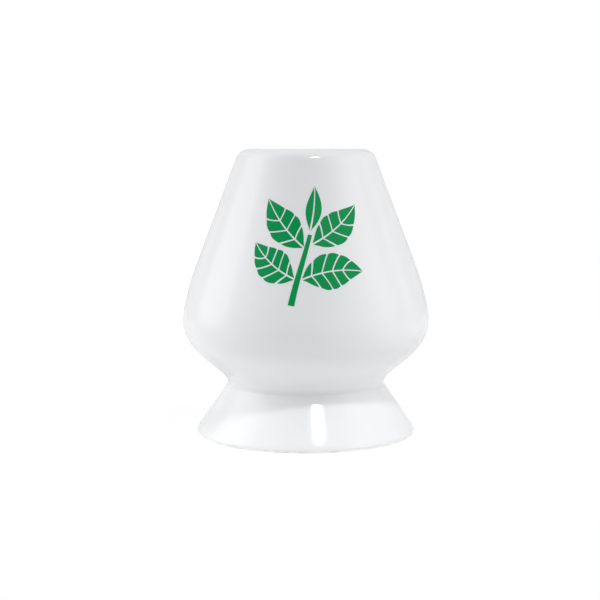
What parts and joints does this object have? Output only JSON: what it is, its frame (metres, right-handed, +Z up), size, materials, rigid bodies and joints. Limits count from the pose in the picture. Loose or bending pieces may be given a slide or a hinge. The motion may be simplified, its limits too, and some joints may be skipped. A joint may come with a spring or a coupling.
{
  "type": "tea whisk holder",
  "caption": "Glazed porcelain stand that dries and reshapes a bamboo tea whisk: a hollow bulb with a round mouth on a narrow neck and a flared hollow foot.",
  "frame": {"origin": "middle of the flat face of the bare standing ring, on the axis of the stand", "axes": "+Z up along the axis that every piece is turned about, from the standing ring towards the mouth; -Y is the side with the print"},
  "size_m": [0.0608, 0.0608, 0.07],
  "materials": {
    "glazed_porcelain": "clear high-gloss glaze over white porcelain",
    "bare_porcelain": "matt fired clay without glaze, rubbed smooth",
    "green_print": "thin green enamel print fired onto the glaze, satin gloss"
  },
  "bodies": {
    "root": {"bulb": "glazed_porcelain", "foot": "glazed_porcelain", "neck_seam": "glazed_porcelain", "standing_ring": "bare_porcelain"}
  },
  "joints": []
}
